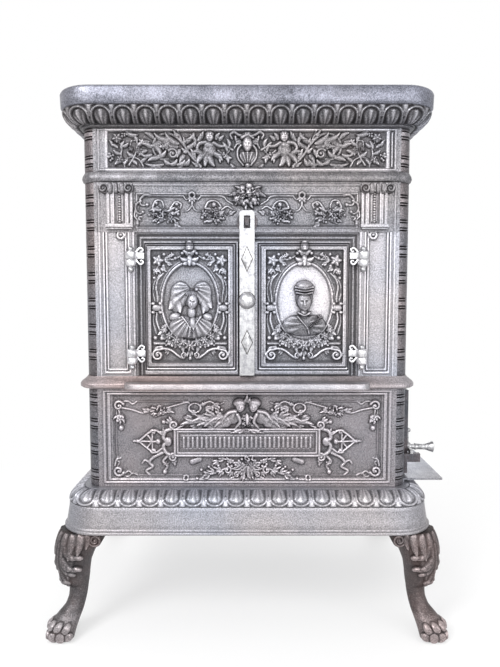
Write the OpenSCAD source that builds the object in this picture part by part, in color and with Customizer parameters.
// Cast-iron niche stove: three tiers of wall panels held between round corner
// posts, a moulded base on four clawed legs, an oven niche behind a pair of
// doors, and a firebox loaded through a door in the right-hand side.
// X runs to the right, the front faces -Y, Z is up, and the floor is Z = 0.

/* [Body] */
// Width over the corner posts
body_w = 600; // [540:10:720]
// Depth over the corner posts
body_d = 400; // [380:10:480]
// Radius of the round corner posts
post_r = 24; // [22:1:29]
// Thickness of a wall panel at its edge
panel_t = 14; // [12:1:16]
// Depth of a panel's sunk field
field_in = 4; // [2:0.5:5]
// Depth cast out of a panel's back
back_in = 4; // [2:0.5:5]

/* [Heights] */
// Height of the legs under the base
leg_h = 199; // [150:1:240]
// Height of the moulded base
base_h = 75; // [65:1:90]
// Height of the firebox tier
lower_h = 188; // [175:1:240]
// Thickness of the ledge between firebox and oven
ledge_t = 22; // [18:1:26]
// Height of the oven tier
middle_h = 355; // [340:1:430]
// Height of the belt moulding
belt_h = 19; // [15:1:24]
// Height of the frieze tier
upper_h = 77; // [60:1:100]
// Height of the cornice
cornice_h = 32; // [26:1:40]
// Height of the top plate's rim
top_h = 33; // [26:1:42]

/* [Mouldings] */
// How far the base's foot stands out from the body
base_out = 49; // [42:1:58]
// How far the cornice stands out
cornice_out = 36; // [30:1:44]
// How far the top plate stands out
top_out = 41; // [36:1:50]
// How far the ledge stands out
ledge_out = 15; // [10:1:20]
// Width of the ledge's front lip
lip_w = 446; // [380:2:520]
// How far the lip's front edge is from the body
lip_out = 45; // [30:1:60]
// Thickness of the lip
lip_t = 11; // [9:1:13]
// How far the belt stands out
belt_out = 5; // [3:1:10]
// Thickness of the plates that close base, ledge and top
deck_t = 12; // [10:1:14]

/* [Oven doors] */
// Width of the doorway
door_w = 360; // [300:2:380]
// Height of the doorway
door_h = 228; // [200:1:250]
// Sill height over the ledge
door_sill = 12; // [10:1:16]
// How far a leaf laps over the doorway's edge
door_lap = 9; // [7:1:10]
// Thickness of a leaf
leaf_t = 11.5; // [9:0.5:14]
// Depth of the seat that the leaves close on
seat_in = 8; // [6:0.5:9]
// Free space around the leaves in their seat
seat_gap = 16; // [14:1:20]
// Gap between the two leaves
leaf_gap = 2; // [1.5:0.5:4]
// Radius of the hinge barrels
barrel_r = 10.5; // [8:0.5:12]
// Height of a whole hinge barrel
barrel_h = 27; // [22:1:34]
// Radius of the hinge pins
pin_r = 4; // [3:0.5:5]
// Width of the latch bar
bar_w = 28; // [22:1:34]
// Thickness of the latch bar
bar_t = 5; // [4:0.5:7]
// Radius of the knob
knob_r = 14.5; // [12:0.5:18]

/* [Side door] */
// Width of the firing doorway
side_w = 200; // [160:2:210]
// Height of the firing doorway
side_h = 148; // [130:1:150]
// Thickness of the firing door
side_t = 8; // [6:0.5:10]
// Depth of the ash shelf
shelf_w = 78; // [60:1:100]
// Length of the ash shelf
shelf_l = 300; // [260:5:330]
// Length of the latch handle
grip_l = 37; // [30:1:50]
// Width of one air slot
slot_w = 11; // [9:1:12]

/* [Inside] */
// Depth of the oven niche behind the frame
oven_d = 286; // [240:2:290]
// Wall of the oven box
oven_t = 5; // [3:0.5:6]
// Thickness of the fire plates
liner_t = 16; // [12:1:20]
// Height of the grate over the base plate
grate_up = 40; // [36:1:46]
// Height of the ash pan
pan_h = 26; // [20:1:30]
// Radius of the flue
flue_r = 60; // [50:1:65]
// Length of the flue collar
flue_l = 48; // [35:1:60]
// Radius of the tie rods
rod_r = 5; // [4:0.5:6]

/* [Hidden] */

$fn = 64;
eps = 1;           // how far a cutting body runs past the face that it cuts
fit = 0.3;         // clearance between pieces that turn or slide past each other
pin_gap = 0.05;    // radial clearance of a hinge pin in its barrel
turned = [90, 0, 0];   // lays a Z extrusion along -Y

// Half sizes and the centres of the corner posts
hw = body_w / 2;
hd = body_d / 2;
post_x = hw - post_r;
post_y = hd - post_r;
tuck = 3;              // how far a panel's edge reaches past the post's centre
post_in = 14;          // inner half width of a post

// Heights of the joints between tiers
z_base = leg_h;
z_lower = z_base + base_h;
z_ledge = z_lower + lower_h;
z_middle = z_ledge + ledge_t;
z_belt = z_middle + middle_h;
z_upper = z_belt + belt_h;
z_cornice = z_upper + upper_h;
z_top = z_cornice + cornice_h;
z_all = z_top + top_h;

// Tie rods and leg bolts
rod_x = post_x - 28;
rod_y = post_y - 28;
rod_gap = 0.5;
boss_r = rod_r + 7;
nut_h = 8;
foot_t = 12;           // thickness of a leg's head and of the pad above it
foot_in = 26;          // how far pad and head reach in from the post's centre
bolt_r = 4;
bolt_near = 14;        // a leg bolt's two offsets from the post's centre
bolt_far = 16;
head_h = 6;

// Oven doors
sill_z = z_middle + door_sill;
lintel_z = sill_z + door_h;
leaf_z0 = sill_z - door_lap;
leaf_z1 = lintel_z + door_lap;
leaf_x = door_w / 2 + door_lap;
seat_x = leaf_x + seat_gap + 1;
seat_z = leaf_z1 + seat_gap;
seat_y = -hd + seat_in;
leaf_y1 = seat_y - 0.5;
leaf_y0 = leaf_y1 - leaf_t;
hinge_x = seat_x + 5;
hinge_y = -hd - barrel_r - 0.5;
hinge_low = [leaf_z0 + 20, leaf_z1 - 20 - barrel_h];
split = -bar_w / 2;                    // the right leaf's free edge
bar_y = leaf_y0 - bar_t;
bar_top = leaf_z1 + 55;
bar_round = 6;
bar_slot = [11, 22];
slot_z = bar_top - 21;                 // centre of the slot near the top of the bar
upper_stud = leaf_z1 - 32;
knob_z = (leaf_z0 + leaf_z1) / 2 + 15;
strap_t = 4;
rim_w = 8;

// Firing door in the right side; its frame is screwed on outside the panel
side_mid = -25;                        // doorway centre along Y
side_y0 = side_mid - side_w / 2;
side_y1 = side_mid + side_w / 2;
side_z0 = z_lower + 18;
side_z1 = side_z0 + side_h;
frame_t = 5;
sleeve_t = 5;
leaf_gap_x = 0.5;
side_x0 = hw + frame_t + leaf_gap_x;
side_x1 = side_x0 + side_t;
side_leaf = [side_y0 - 30, side_y1 + 15];      // leaf's two ends along Y
frame_y = [side_leaf[0] - 8, side_leaf[1] + 14];
frame_z = [side_z0 - 8, side_z1 + 14];
side_pin = [side_x1 + 0.5, side_leaf[1] + 7];
side_barrel_r = 6;
side_barrel_h = 12;
side_pin_r = 2.5;
side_hinge_z = [side_z0 + 22, side_z1 - 22 - 2 * side_barrel_h - fit];

// Side latch, on the leaf's front flange
latch_y = side_y0 - 15;
latch_z = side_z0 + 43;
boss_l = 8.5;
tongue_t = 5;
tongue_l = 35;
arm_l = 33;
ball_r = 4.4;
keeper = [33, 10, 16];

// Air slide
slide_z = side_z0 + 10;
slide_h = 28;
slide_t = 3;
guide_t = 4;
slots = 4;
slot_pitch = 2 * slot_w + 2;
slide_travel = slot_w + 1;
slide_y = side_mid + 5;

// Inside
oven_x = door_w / 2 + 8;
oven_z0 = z_middle;
oven_z1 = lintel_z + 16;
wall_y = -hd + panel_t;                // inner face of the front wall
pan = [420, 170];
flue_z = oven_z1 + 12;

// Places its children at one corner, mirrored so that +X +Y points outwards
module at_corner(sx, sy) {
    mirror([sx < 0 ? 1 : 0, 0, 0]) mirror([0, sy < 0 ? 1 : 0, 0])
        translate([post_x, post_y, 0]) children();
}

// Turns a wall that faces -Y and starts at y = 0 to one of the four sides
module on_side(side) {
    if (side == "front") translate([0, -hd, 0]) children();
    if (side == "right") rotate([0, 0, 90]) translate([0, -hw, 0]) children();
    if (side == "back") rotate([0, 0, 180]) translate([0, -hd, 0]) children();
    if (side == "left") rotate([0, 0, -90]) translate([0, -hw, 0]) children();
}

// Carries a section around the rounded body; x is the distance out from it
module around_body(section) {
    for (s = [0, 1]) mirror([0, s, 0])
        translate([-post_x, hd, 0]) rotate([90, 0, 90])
            linear_extrude(2 * post_x) polygon(section);
    for (s = [0, 1]) mirror([s, 0, 0])
        translate([hw, post_y, 0]) rotate(turned)
            linear_extrude(2 * post_y) polygon(section);
    for (sx = [-1, 1], sy = [-1, 1]) at_corner(sx, sy)
        rotate_extrude(angle = 90) translate([post_r, 0]) polygon(section);
}

// Flat plate that closes the inside of a moulding
module deck(z) {
    translate([-hw + 10, -hd + 10, z]) cube([body_w - 20, body_d - 20, deck_t]);
}

// Box from its two corners
module block(low, high) {
    translate(low) cube(high - low);
}

// Cast wall panel with a sunk field; raised adds a fielded middle
module wall_panel(w, h, margin, raised = true) {
    inset = margin + 16;
    difference() {
        block([-w / 2, 0, 0], [w / 2, panel_t, h]);
        difference() {
            block([-w / 2 + margin, -eps, margin], [w / 2 - margin, field_in, h - margin]);
            if (raised)
                block([-w / 2 + inset, field_in / 2, inset],
                      [w / 2 - inset, field_in + eps, h - inset]);
        }
        block([-w / 2 + margin + 6, panel_t - back_in, margin + 6],
              [w / 2 - margin - 6, panel_t + eps, h - margin - 6]);
    }
}

front_w = 2 * (post_x + tuck);
side_panel_w = 2 * (post_y + tuck);

// Corner post: a round bar, rebated for the two panels that it clamps
module post(z0, h) {
    color("dimgray") translate([0, 0, z0]) linear_extrude(h) difference() {
        intersection() {
            circle(post_r);
            translate([-post_in, -post_in]) square(2 * post_r);
        }
        translate([-post_r - eps, post_r - panel_t])
            square([post_r + eps + tuck, panel_t + eps]);
        translate([post_r - panel_t, -post_r - eps])
            square([panel_t + eps, post_r + eps + tuck]);
    }
}

// Square pad with one round outer corner, shared by base and leg
module pad_outline(reach) {
    translate([-foot_in, -foot_in]) square([foot_in + reach, foot_in]);
    translate([-foot_in, -foot_in]) square([foot_in, foot_in + reach]);
    intersection() {
        circle(reach);
        translate([-eps, -eps]) square(reach + 2 * eps);
    }
}

// Two bolt places on a pad
module at_bolts() {
    translate([bolt_far, -bolt_near, 0]) children();
    translate([-bolt_near, bolt_far, 0]) children();
}

// Cabriole leg with a paw, cut to one outline from the front and one from the side
module leg() {
    top = leg_h - foot_t;
    k = top / 187;                     // stretches the outline with the leg's height
    outline = [
        [0, top], [6, 165 * k], [16, 140 * k], [20, 100 * k], [26, 70 * k],
        [30, 45], [36, 20], [36, 0], [89, 0], [93, 14], [89, 30], [78, 45], [66, 58],
        [62, 80 * k], [65, 100 * k], [75, 125 * k], [80, 151 * k], [79, 170 * k],
        [72, top]
    ];
    from_side = [for (p = outline) [0.9 * p[0], p[1]]];   // the paws reach less far forward
    waist = [
        [40, top], [37, 151 * k], [30, 125 * k], [22, 100 * k], [17, 57], [23, 40],
        [29, 25], [29, 0]
    ];
    other = [for (i = [len(waist) - 1:-1:0]) [-waist[i][0], waist[i][1]]];
    far = 160;
    color("gray") difference() {
        union() {
            intersection() {
                translate([0, far, 0]) rotate(turned) linear_extrude(far) polygon(outline);
                rotate([90, 0, 90]) linear_extrude(far) polygon(from_side);
                rotate([0, 0, 45]) rotate([90, 0, 90])
                    linear_extrude(far) polygon(concat(waist, other));
            }
            translate([0, 0, top]) linear_extrude(foot_t) pad_outline(post_r + base_out - 3);
            // scrolled wings under the base, one along each side
            leg_wing(top);
            mirror([1, -1, 0]) leg_wing(top);
        }
        at_bolts() translate([0, 0, top - eps]) cylinder(h = foot_t + 2 * eps, r = bolt_r + 0.2);
    }
}

module leg_wing(top) {
    curl_r = 13;
    translate([0, 64, 0]) rotate(turned) linear_extrude(14) {
        translate([9, top - curl_r - 1]) circle(curl_r);
        translate([9, top - 20]) square([41, 20]);
    }
}

module leg_bolts() {
    top = leg_h - foot_t;
    color("dimgray") for (sx = [-1, 1], sy = [-1, 1]) at_corner(sx, sy) at_bolts() {
        translate([0, 0, top - head_h]) cylinder(h = head_h, r = 1.7 * bolt_r, $fn = 6);
        translate([0, 0, top - head_h]) cylinder(h = 2 * foot_t + head_h + 8, r = bolt_r);
    }
}

// Base: foot, plain band and ovolo, closed by a deck, with a pad for each leg
module base_plinth() {
    ovolo_z = z_lower - 28;
    ovolo_h = 25;
    band_out = base_out - 9;
    neck = 9;
    wall = 10;
    section = concat(
        [[base_out, z_base], [base_out, z_base + 5], [base_out - 4, z_base + 9],
         [band_out + 1, z_base + 15], [band_out, z_base + 22]],
        [for (a = [0:15:90])
            [neck + (band_out - neck) * cos(a), ovolo_z + ovolo_h * sin(a)]],
        [[neck, z_lower], [-post_in, z_lower], [-post_in, z_lower - deck_t],
         [0, z_lower - deck_t], [band_out - wall, ovolo_z - 6], [band_out - wall, z_base]]);
    color("gray") difference() {
        union() {
            around_body(section);
            deck(z_lower - deck_t);
            for (sx = [-1, 1], sy = [-1, 1]) at_corner(sx, sy)
                translate([0, 0, z_base]) linear_extrude(foot_t)
                    pad_outline(post_r + band_out - wall + 1);
        }
        for (sx = [-1, 1], sy = [-1, 1]) at_corner(sx, sy) {
            at_bolts() translate([0, 0, z_base - eps])
                cylinder(h = foot_t + 2 * eps, r = bolt_r + 0.2);
            rod_hole(z_lower - deck_t);
        }
    }
}

// Clearance hole for a tie rod through a deck, in a corner's own frame
module rod_hole(z) {
    translate([rod_x - post_x, rod_y - post_y, z - eps])
        cylinder(h = deck_t + 2 * eps, r = rod_r + rod_gap);
}

// Rods that clamp the whole stove between base and top, with nut and washer below
module tie_rods() {
    under = z_lower - deck_t;
    color("dimgray") for (sx = [-1, 1], sy = [-1, 1]) at_corner(sx, sy)
        translate([rod_x - post_x, rod_y - post_y, 0]) {
            translate([0, 0, under - nut_h - 4])
                cylinder(h = z_all - deck_t - under + nut_h, r = rod_r);
            translate([0, 0, under - nut_h]) difference() {
                cylinder(h = nut_h, r = 1.9 * rod_r, $fn = 6);
                translate([0, 0, -eps]) cylinder(h = nut_h + 2 * eps, r = rod_r);
            }
        }
}

module lower_front_panel() {
    rim = 11;
    step = 19;
    color("gray") translate([0, 0, z_lower]) on_side("front") {
        wall_panel(front_w, lower_h, rim, false);
        // stepped picture-frame moulding inside the rim
        difference() {
            block([-front_w / 2 + rim + 4, 1, rim + 4],
                  [front_w / 2 - rim - 4, field_in + 1, lower_h - rim - 4]);
            block([-front_w / 2 + rim + step, 0, rim + step],
                  [front_w / 2 - rim - step, field_in + 2, lower_h - rim - step]);
        }
    }
}

// Right wall of the firebox: flat outside, with the hole that the door frame's sleeve fills
module lower_right_panel() {
    g = sleeve_t + 0.5;
    edge = 12; // solid margin round the hollow back
    color("gray") difference() {
        translate([0, 0, z_lower]) on_side("right") difference() {
            block([-side_panel_w / 2, 0, 0], [side_panel_w / 2, panel_t, lower_h]);
            block([-side_panel_w / 2 + edge, panel_t - back_in, edge],
                  [side_panel_w / 2 - edge, panel_t + eps, lower_h - edge]);
        }
        block([hw - panel_t - eps, side_y0 - g, side_z0 - g],
              [hw + eps, side_y1 + g, side_z1 + g]);
    }
}

module lower_panel(side, w) {
    color("gray") translate([0, 0, z_lower]) on_side(side) wall_panel(w, lower_h, 22);
}

module ledge_plate() {
    section = [
        [ledge_out - 4, z_ledge], [ledge_out, z_ledge + 3], [ledge_out, z_ledge + 8],
        [ledge_out - 3, z_ledge + 12], [3, z_middle - 3], [1, z_middle],
        [-post_in, z_middle], [-post_in, z_ledge]
    ];
    lip_r = 20;
    lip_z = z_ledge + 3;
    color("gray") difference() {
        union() {
            around_body(section);
            deck(z_middle - deck_t);
            // front lip with rounded ends
            translate([0, 0, lip_z]) linear_extrude(lip_t) {
                translate([-lip_w / 2, -hd - lip_out + lip_r])
                    square([lip_w, lip_out - lip_r]);
                translate([-lip_w / 2 + lip_r, -hd - lip_out])
                    square([lip_w - 2 * lip_r, lip_out]);
                for (s = [-1, 1]) translate([s * (lip_w / 2 - lip_r), -hd - lip_out + lip_r])
                    circle(lip_r);
            }
        }
        // smoke ways on both sides of the oven, and the rod holes
        for (s = [0, 1]) mirror([s, 0, 0])
            block([oven_x + 12, -rod_y + 18, z_middle - deck_t - eps],
                  [rod_x - rod_r - 3, rod_y - 18, z_middle + eps]);
        for (sx = [-1, 1], sy = [-1, 1]) at_corner(sx, sy) rod_hole(z_middle - deck_t);
    }
}

// Front wall of the oven tier: doorway, sunk seat, pilasters on their brackets
module door_frame() {
    bracket = [51, 12, 9];
    bracket_z = seat_z + 5;
    shaft = [49, 6, z_belt - 5 - bracket_z - bracket[2]];
    bracket_x = seat_x;
    color("gray") {
        difference() {
            block([-front_w / 2, -hd, z_middle], [front_w / 2, wall_y, z_belt]);
            block([-seat_x, -hd - eps, z_middle - eps], [seat_x, seat_y, seat_z]);
            block([-door_w / 2, -hd - eps, sill_z], [door_w / 2, wall_y + eps, lintel_z]);
            // sunk frieze field between the pilasters
            block([-seat_x + 4, -hd - eps, seat_z + 11], [seat_x - 4, -hd + 3, z_belt - 21]);
        }
        for (s = [0, 1]) mirror([s, 0, 0]) {
            translate([bracket_x, -hd - bracket[1], bracket_z]) cube(bracket);
            translate([bracket_x + 1, -hd - shaft[1], bracket_z + bracket[2]]) cube(shaft);
        }
    }
}

module middle_panel(side, w) {
    color("gray") translate([0, 0, z_middle]) on_side(side) wall_panel(w, middle_h, 22);
}

module middle_back_panel() {
    color("gray") difference() {
        translate([0, 0, z_middle]) on_side("back") {
            wall_panel(front_w, middle_h, 22);
            // flat boss behind the flue collar
            translate([0, panel_t - back_in, flue_z - z_middle]) rotate(turned)
                cylinder(h = panel_t - back_in, r = flue_r + 20);
        }
        translate([0, hd + eps, flue_z]) rotate(turned)
            cylinder(h = panel_t + 2 * eps, r = flue_r + 2);
    }
}

module belt_ring() {
    color("gray") around_body([
        [0, z_belt], [belt_out - 2, z_belt + 2], [belt_out, z_belt + 7],
        [belt_out - 1, z_belt + 12], [0, z_upper], [-post_in, z_upper], [-post_in, z_belt]
    ]);
}

module frieze_panel() {
    rim = 7;
    border = 19;
    color("gray") translate([0, 0, z_upper]) on_side("front") {
        wall_panel(front_w, upper_h, rim, false);
        for (s = [0, 1]) mirror([s, 0, 0])
            block([front_w / 2 - rim - border, 1, rim],
                  [front_w / 2 - rim, field_in + 1, upper_h - rim]);
    }
}

module upper_panel(side, w) {
    color("gray") translate([0, 0, z_upper]) on_side(side) wall_panel(w, upper_h, 12);
}

// Cornice: fillet and ovolo, cast hollow
module cornice() {
    fillet = 6;
    foot = 8;
    color("gray") around_body(concat(
        [[3, z_cornice], [fillet, z_cornice + 2], [fillet, z_cornice + fillet]],
        [for (a = [0:15:90])
            [foot + (cornice_out - foot) * sin(a),
             z_top - (cornice_h - fillet) * cos(a)]],
        [[cornice_out - 19, z_top], [foot + 8, z_top - 12], [-2, z_cornice + 14],
         [-post_in, z_cornice + 14], [-post_in, z_cornice]]));
}

// Top plate: a rim over the cornice, a flat deck, and a blind boss for each rod
module top_plate() {
    rim_in = top_out - 18;
    color("gray") difference() {
        union() {
            around_body([
                [top_out - 4, z_top], [top_out - 1, z_top + 4], [top_out, z_all - 6],
                [top_out - 2, z_all - 2], [top_out - 6, z_all], [-post_in, z_all],
                [-post_in, z_all - deck_t], [rim_in, z_all - deck_t], [rim_in, z_top]
            ]);
            deck(z_all - deck_t);
            for (sx = [-1, 1], sy = [-1, 1]) at_corner(sx, sy)
                translate([rod_x - post_x, rod_y - post_y, z_all - deck_t - 18])
                    cylinder(h = 18 + eps, r = boss_r);
        }
        for (sx = [-1, 1], sy = [-1, 1]) at_corner(sx, sy)
            translate([rod_x - post_x, rod_y - post_y, z_all - deck_t - 18 - eps])
                cylinder(h = 15 + eps, r = rod_r + rod_gap);
    }
}

// Oven niche: a box open towards the doorway, standing on the ledge
module oven_box() {
    color("dimgray") difference() {
        block([-oven_x, wall_y, oven_z0], [oven_x, wall_y + oven_d, oven_z1]);
        block([-oven_x + oven_t, wall_y - eps, oven_z0 + oven_t],
              [oven_x - oven_t, wall_y + oven_d - oven_t, oven_z1 - oven_t]);
    }
}

liner_y = hd - panel_t - liner_t;      // inner face of a fire plate
rest_h = 10;

// Fire plate with a ledge that carries the grate; s is -1 in front, 1 behind
module liner(s) {
    plate_x = post_x - post_in - 7;
    color("sienna") mirror([0, s < 0 ? 1 : 0, 0]) {
        block([-plate_x, liner_y, z_lower], [plate_x, liner_y + liner_t, z_ledge - 12]);
        block([-plate_x + 20, liner_y - 12, z_lower + grate_up - rest_h],
              [plate_x - 20, liner_y, z_lower + grate_up]);
    }
}

module fire_grate() {
    bar = 10;
    gap = 10;
    plate = [2 * rod_x - 2 * rod_r - 16, 2 * liner_y - 12, 8];
    count = floor((plate[0] - 40) / (bar + gap));
    color("dimgray") translate([0, 0, z_lower + grate_up]) difference() {
        translate([-plate[0] / 2, -plate[1] / 2, 0]) cube(plate);
        for (i = [0:count - 1])
            translate([(i - (count - 1) / 2) * (bar + gap) - gap / 2, -plate[1] / 2 + 22, -eps])
                cube([gap, plate[1] - 44, plate[2] + 2 * eps]);
    }
}

// Folded ash pan, lying on the base deck under the grate
module ash_pan() {
    wall = 2;
    x0 = rod_x - pan[0] - 18;
    color("dimgray") difference() {
        block([x0, side_mid - pan[1] / 2, z_lower],
              [x0 + pan[0], side_mid + pan[1] / 2, z_lower + pan_h]);
        block([x0 + wall, side_mid - pan[1] / 2 + wall, z_lower + wall],
              [x0 + pan[0] - wall, side_mid + pan[1] / 2 - wall, z_lower + pan_h + eps]);
    }
}

// Collar for the stove pipe on the back wall
module flue_collar() {
    color("gray") translate([0, hd, flue_z]) rotate([-90, 0, 0]) difference() {
        union() {
            cylinder(h = flue_l, r = flue_r + 6);
            cylinder(h = 6, r = flue_r + 20);
        }
        translate([0, 0, -eps]) cylinder(h = flue_l + 2 * eps, r = flue_r);
    }
}

// Mirrors the right-hand hinge to both sides
module both_sides() {
    children();
    mirror([1, 0, 0]) children();
}

half_h = (barrel_h - fit) / 2;

// Lower half of each hinge, on the frame
module frame_hinge_knuckles() {
    color("silver") both_sides() for (z = hinge_low) difference() {
        union() {
            translate([hinge_x, hinge_y, z]) cylinder(h = half_h, r = barrel_r);
            block([seat_x + 1, hinge_y, z], [hinge_x + 7, -hd, z + half_h]);
        }
        translate([hinge_x, hinge_y, z - eps])
            cylinder(h = half_h + 2 * eps, r = pin_r + pin_gap);
    }
}

// Upper half of each hinge, with the strap that is riveted to the leaf
module door_knuckles() {
    color("silver") for (z = hinge_low) translate([0, 0, z + half_h + fit]) difference() {
        union() {
            translate([hinge_x, hinge_y, 0]) cylinder(h = half_h, r = barrel_r);
            block([leaf_x - 12, leaf_y0 - strap_t, 0], [hinge_x, leaf_y0, half_h]);
        }
        translate([hinge_x, hinge_y, -eps])
            cylinder(h = half_h + 2 * eps, r = pin_r + pin_gap);
    }
}

module door_hinge_pins() {
    tip_r = pin_r + 1.5;
    color("silver") both_sides() for (z = hinge_low) translate([hinge_x, hinge_y, z]) {
        translate([0, 0, -tip_r / 2]) cylinder(h = barrel_h + tip_r, r = pin_r);
        translate([0, 0, barrel_h + tip_r * 0.9]) sphere(tip_r);
        translate([0, 0, -tip_r * 0.9]) sphere(tip_r);
    }
}

// One oven-door leaf from x0 to x1, with a sunk field
module leaf(x0, x1, rim_left, rim_right) {
    color("gray") difference() {
        block([x0, leaf_y0, leaf_z0], [x1, leaf_y1, leaf_z1]);
        block([x0 + rim_left, leaf_y0 - eps, leaf_z0 + rim_w],
              [x1 - rim_right, leaf_y0 + field_in, leaf_z1 - rim_w]);
    }
}

module door_left() leaf(-leaf_x, split - leaf_gap, rim_w, rim_w);

module door_right() leaf(split, leaf_x, bar_w + rim_w, rim_w);

// Spring bar on the right leaf; its slot drops over the catch
module latch_bar() {
    half = bar_w / 2;
    low = leaf_z0 - 1;
    color("lightgray") translate([0, leaf_y0, 0]) rotate(turned) linear_extrude(bar_t) difference() {
        union() {
            translate([-half, low]) square([bar_w, bar_top - bar_round - low]);
            translate([-half + bar_round, low]) square([bar_w - 2 * bar_round, bar_top - low]);
            for (s = [-1, 1]) translate([s * (half - bar_round), bar_top - bar_round])
                circle(bar_round);
        }
        translate([-bar_slot[0] / 2, slot_z - bar_slot[1] / 2]) square(bar_slot);
    }
}

module latch_catch() {
    plate_r = bar_w / 2 + 5;
    nose = [7, bar_t + 6, bar_slot[1] - 8];
    back = leaf_y0 + 1;
    color("silver") {
        translate([0, -hd, slot_z]) rotate(turned) cylinder(h = -hd - back, r = plate_r);
        block([-nose[0] / 2, back - nose[1], slot_z - nose[2] / 2],
              [nose[0] / 2, -hd, slot_z + nose[2] / 2]);
    }
}

module latch_knob() {
    stem = 9;
    color("silver") translate([0, bar_y, knob_z]) rotate(turned) rotate_extrude() polygon([
        [0, 0], [knob_r * 0.55, 0], [knob_r * 0.4, stem * 0.5], [knob_r * 0.45, stem],
        [knob_r * 0.9, stem + 2], [knob_r, stem + 5], [knob_r * 0.9, stem + 10],
        [knob_r * 0.5, stem + 13], [0, stem + 14]
    ]);
}

// Lozenge-headed rivets that hold the bar
module latch_studs() {
    half = [10, 21];
    color("silver") for (z = [upper_stud, leaf_z0 + 3 * half[1] - 3])
        translate([0, bar_y, z]) rotate(turned) linear_extrude(4)
            polygon([[-half[0], 0], [0, -half[1]], [half[0], 0], [0, half[1]]]);
}

// Frame of the firing door: flange, sleeve through the wall, and hinge lugs
module side_door_frame() {
    color("dimgray") difference() {
        union() {
            block([hw, frame_y[0], frame_z[0]], [hw + frame_t, frame_y[1], frame_z[1]]);
            block([hw - panel_t, side_y0 - sleeve_t, side_z0 - sleeve_t],
                  [hw + eps, side_y1 + sleeve_t, side_z1 + sleeve_t]);
            for (z = side_hinge_z) {
                translate([side_pin[0], side_pin[1], z])
                    cylinder(h = side_barrel_h, r = side_barrel_r);
                block([hw, side_pin[1] - side_barrel_r, z],
                      [side_pin[0], side_pin[1] + side_barrel_r, z + side_barrel_h]);
            }
        }
        block([hw - panel_t - eps, side_y0, side_z0], [hw + frame_t + eps, side_y1, side_z1]);
        for (z = side_hinge_z) translate([side_pin[0], side_pin[1], z - eps])
            cylinder(h = side_barrel_h + 2 * eps, r = side_pin_r + pin_gap);
    }
}

module side_hinge_pins() {
    long = 2 * side_barrel_h + fit;
    color("silver") for (z = side_hinge_z) translate([side_pin[0], side_pin[1], z - 2]) {
        cylinder(h = long + 4, r = side_pin_r);
        translate([0, 0, long + 2]) cylinder(h = 2.5, r = side_pin_r + 2);
    }
}

// Places of the air slots along Y, in the closed door
function slot_place(i) = slide_y + (i - (slots - 1) / 2) * slot_pitch;

module side_door() {
    guide_y = [slide_y - slots * slot_pitch / 2 - 6,
               slide_y + slots * slot_pitch / 2 + slide_travel + 6];
    color("gray") difference() {
        union() {
            block([side_x0, side_leaf[0], frame_z[0] + 2],
                  [side_x1, side_leaf[1], frame_z[1] - 4]);
            // barrels, set above the frame's lugs
            for (z = side_hinge_z) translate([0, 0, z + side_barrel_h + fit]) {
                translate([side_pin[0], side_pin[1], 0])
                    cylinder(h = side_barrel_h, r = side_barrel_r);
                block([side_x0, side_leaf[1] - 10, 0],
                      [side_x1, side_pin[1], side_barrel_h]);
            }
            // lipped guides above and below the air slide
            for (z = [slide_z - guide_t - fit, slide_z + slide_h + fit])
                block([side_x1 - eps, guide_y[0], z],
                      [side_x1 + slide_t + 2.5, guide_y[1], z + guide_t]);
            block([side_x1 + slide_t + fit + 0.2, guide_y[0], slide_z - guide_t - fit],
                  [side_x1 + slide_t + 2.5, guide_y[1], slide_z + 3]);
            block([side_x1 + slide_t + fit + 0.2, guide_y[0], slide_z + slide_h - 3],
                  [side_x1 + slide_t + 2.5, guide_y[1], slide_z + slide_h + guide_t]);
            // drip bead over the leaf
            block([side_x1 - eps, side_leaf[0] + 30, frame_z[1] - 14],
                  [side_x1 + 2, side_leaf[1] - 14, frame_z[1] - 10]);
        }
        for (z = side_hinge_z) translate([side_pin[0], side_pin[1], z])
            cylinder(h = 3 * side_barrel_h, r = side_pin_r + pin_gap);
        // room for the frame's lugs
        for (z = side_hinge_z)
            block([side_x0 - eps, side_pin[1] - side_barrel_r - 1, z - 1],
                  [side_x1 + side_barrel_r + 4, side_pin[1] + side_barrel_r + 1,
                   z + side_barrel_h + fit]);
        for (i = [0:slots - 1])
            block([side_x0 - eps, slot_place(i) - slot_w / 2, slide_z + 5],
                  [side_x1 + eps, slot_place(i) + slot_w / 2, slide_z + slide_h - 5]);
    }
}

// Slotted regulator; shut at rest, open when it has slid towards the hinge
module air_slide() {
    x0 = side_x1 + 0.2;
    x1 = side_x1 + slide_t;
    color("silver") {
        difference() {
            block([x0, slide_y - slots * slot_pitch / 2 - 2, slide_z],
                  [x1, slide_y + slots * slot_pitch / 2 + 2, slide_z + slide_h]);
            for (i = [0:slots - 1])
                block([x0 - eps, slot_place(i) - slide_travel - slot_w / 2, slide_z + 5],
                      [x1 + eps, slot_place(i) - slide_travel + slot_w / 2,
                       slide_z + slide_h - 5]);
        }
        translate([x1 - eps, slide_y + slots * slot_pitch / 2 - 8, slide_z + slide_h / 2])
            rotate([0, 90, 0]) cylinder(h = 12, r = 4);
    }
}

// Latch lever: boss, tongue over the keeper, and an arm with a ball
module side_latch() {
    x0 = side_x1 + fit;
    color("silver") {
        translate([x0, latch_y, latch_z]) rotate([0, 90, 0])
            cylinder(h = boss_l, r = 8);
        block([x0, latch_y - tongue_l, latch_z - tongue_t],
              [x0 + tongue_t, latch_y, latch_z + tongue_t / 2]);
        block([x0 + 2, latch_y - 3, latch_z], [x0 + 5, latch_y + 3, latch_z + arm_l]);
        translate([x0 + ball_r + 0.2, latch_y, latch_z + arm_l]) sphere(ball_r);
    }
}

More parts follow.
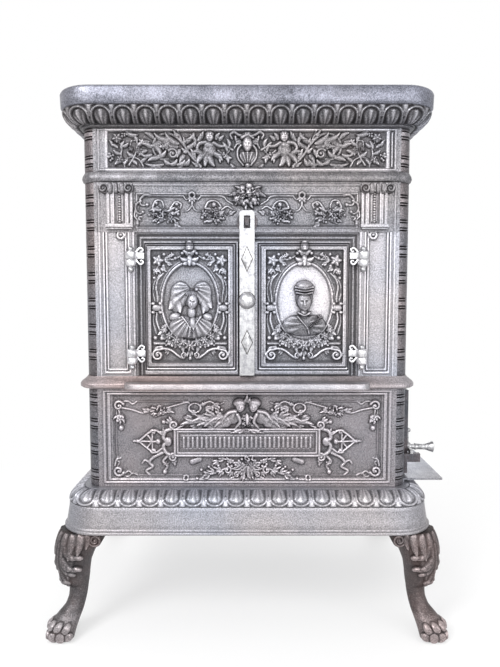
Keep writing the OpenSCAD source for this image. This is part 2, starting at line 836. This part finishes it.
// Turned grip on the latch's axis, flared at its outer end
module side_handle() {
    color("silver") translate([side_x1 + fit + boss_l, latch_y, latch_z])
        rotate([0, 90, 0]) rotate_extrude() polygon([
            [0, 0], [5, 0], [5, 8], [6.5, 9], [5.5, 14], [6, grip_l - 8],
            [10, grip_l + 4], [11, grip_l + 7], [9, grip_l + 8], [0, grip_l + 8]
        ]);
}

// Block beside the door, under the latch's tongue
module side_keeper() {
    top = latch_z - tongue_t - fit;
    color("dimgray") block(
        [hw, frame_y[0] - 1 - keeper[1], top - keeper[2]],
        [hw + keeper[0], frame_y[0] - 1, top]);
}

// Shelf under the firing door; its flange stands on the base
module ash_shelf() {
    shelf_z = z_lower + 3;
    shelf_y = side_mid + 5;
    color("gray") {
        block([hw, shelf_y - shelf_l / 2, shelf_z], [hw + shelf_w, shelf_y + shelf_l / 2, shelf_z + 4]);
        block([hw, shelf_y - shelf_l / 2, z_lower], [hw + 4, shelf_y + shelf_l / 2, shelf_z + 1]);
    }
}

at_corner(-1, -1) leg();  // leg_front_left
at_corner(1, -1) leg();  // leg_front_right
at_corner(-1, 1) leg();  // leg_rear_left
at_corner(1, 1) leg();  // leg_rear_right
leg_bolts();
base_plinth();
lower_front_panel();
lower_right_panel();
lower_panel("back", front_w);  // lower_back_panel
lower_panel("left", side_panel_w);  // lower_left_panel
at_corner(-1, -1) post(z_lower, lower_h);  // lower_post_front_left
at_corner(1, -1) post(z_lower, lower_h);  // lower_post_front_right
at_corner(-1, 1) post(z_lower, lower_h);  // lower_post_rear_left
at_corner(1, 1) post(z_lower, lower_h);  // lower_post_rear_right
ledge_plate();
door_frame();
middle_panel("right", side_panel_w);  // middle_right_panel
middle_back_panel();
middle_panel("left", side_panel_w);  // middle_left_panel
at_corner(-1, -1) post(z_middle, middle_h);  // middle_post_front_left
at_corner(1, -1) post(z_middle, middle_h);  // middle_post_front_right
at_corner(-1, 1) post(z_middle, middle_h);  // middle_post_rear_left
at_corner(1, 1) post(z_middle, middle_h);  // middle_post_rear_right
belt_ring();
frieze_panel();
upper_panel("right", side_panel_w);  // upper_right_panel
upper_panel("back", front_w);  // upper_back_panel
upper_panel("left", side_panel_w);  // upper_left_panel
at_corner(-1, -1) post(z_upper, upper_h);  // upper_post_front_left
at_corner(1, -1) post(z_upper, upper_h);  // upper_post_front_right
at_corner(-1, 1) post(z_upper, upper_h);  // upper_post_rear_left
at_corner(1, 1) post(z_upper, upper_h);  // upper_post_rear_right
cornice();
top_plate();
tie_rods();
oven_box();
fire_grate();
ash_pan();
liner(-1);  // liner_front
liner(1);  // liner_back
flue_collar();
frame_hinge_knuckles();
door_hinge_pins();
latch_catch();
door_left();
mirror([1, 0, 0]) door_knuckles();  // door_left_knuckles
door_right();
door_knuckles();  // door_right_knuckles
latch_bar();
latch_knob();
latch_studs();
side_door_frame();
side_hinge_pins();
side_keeper();
ash_shelf();
side_door();
side_latch();
side_handle();
air_slide();
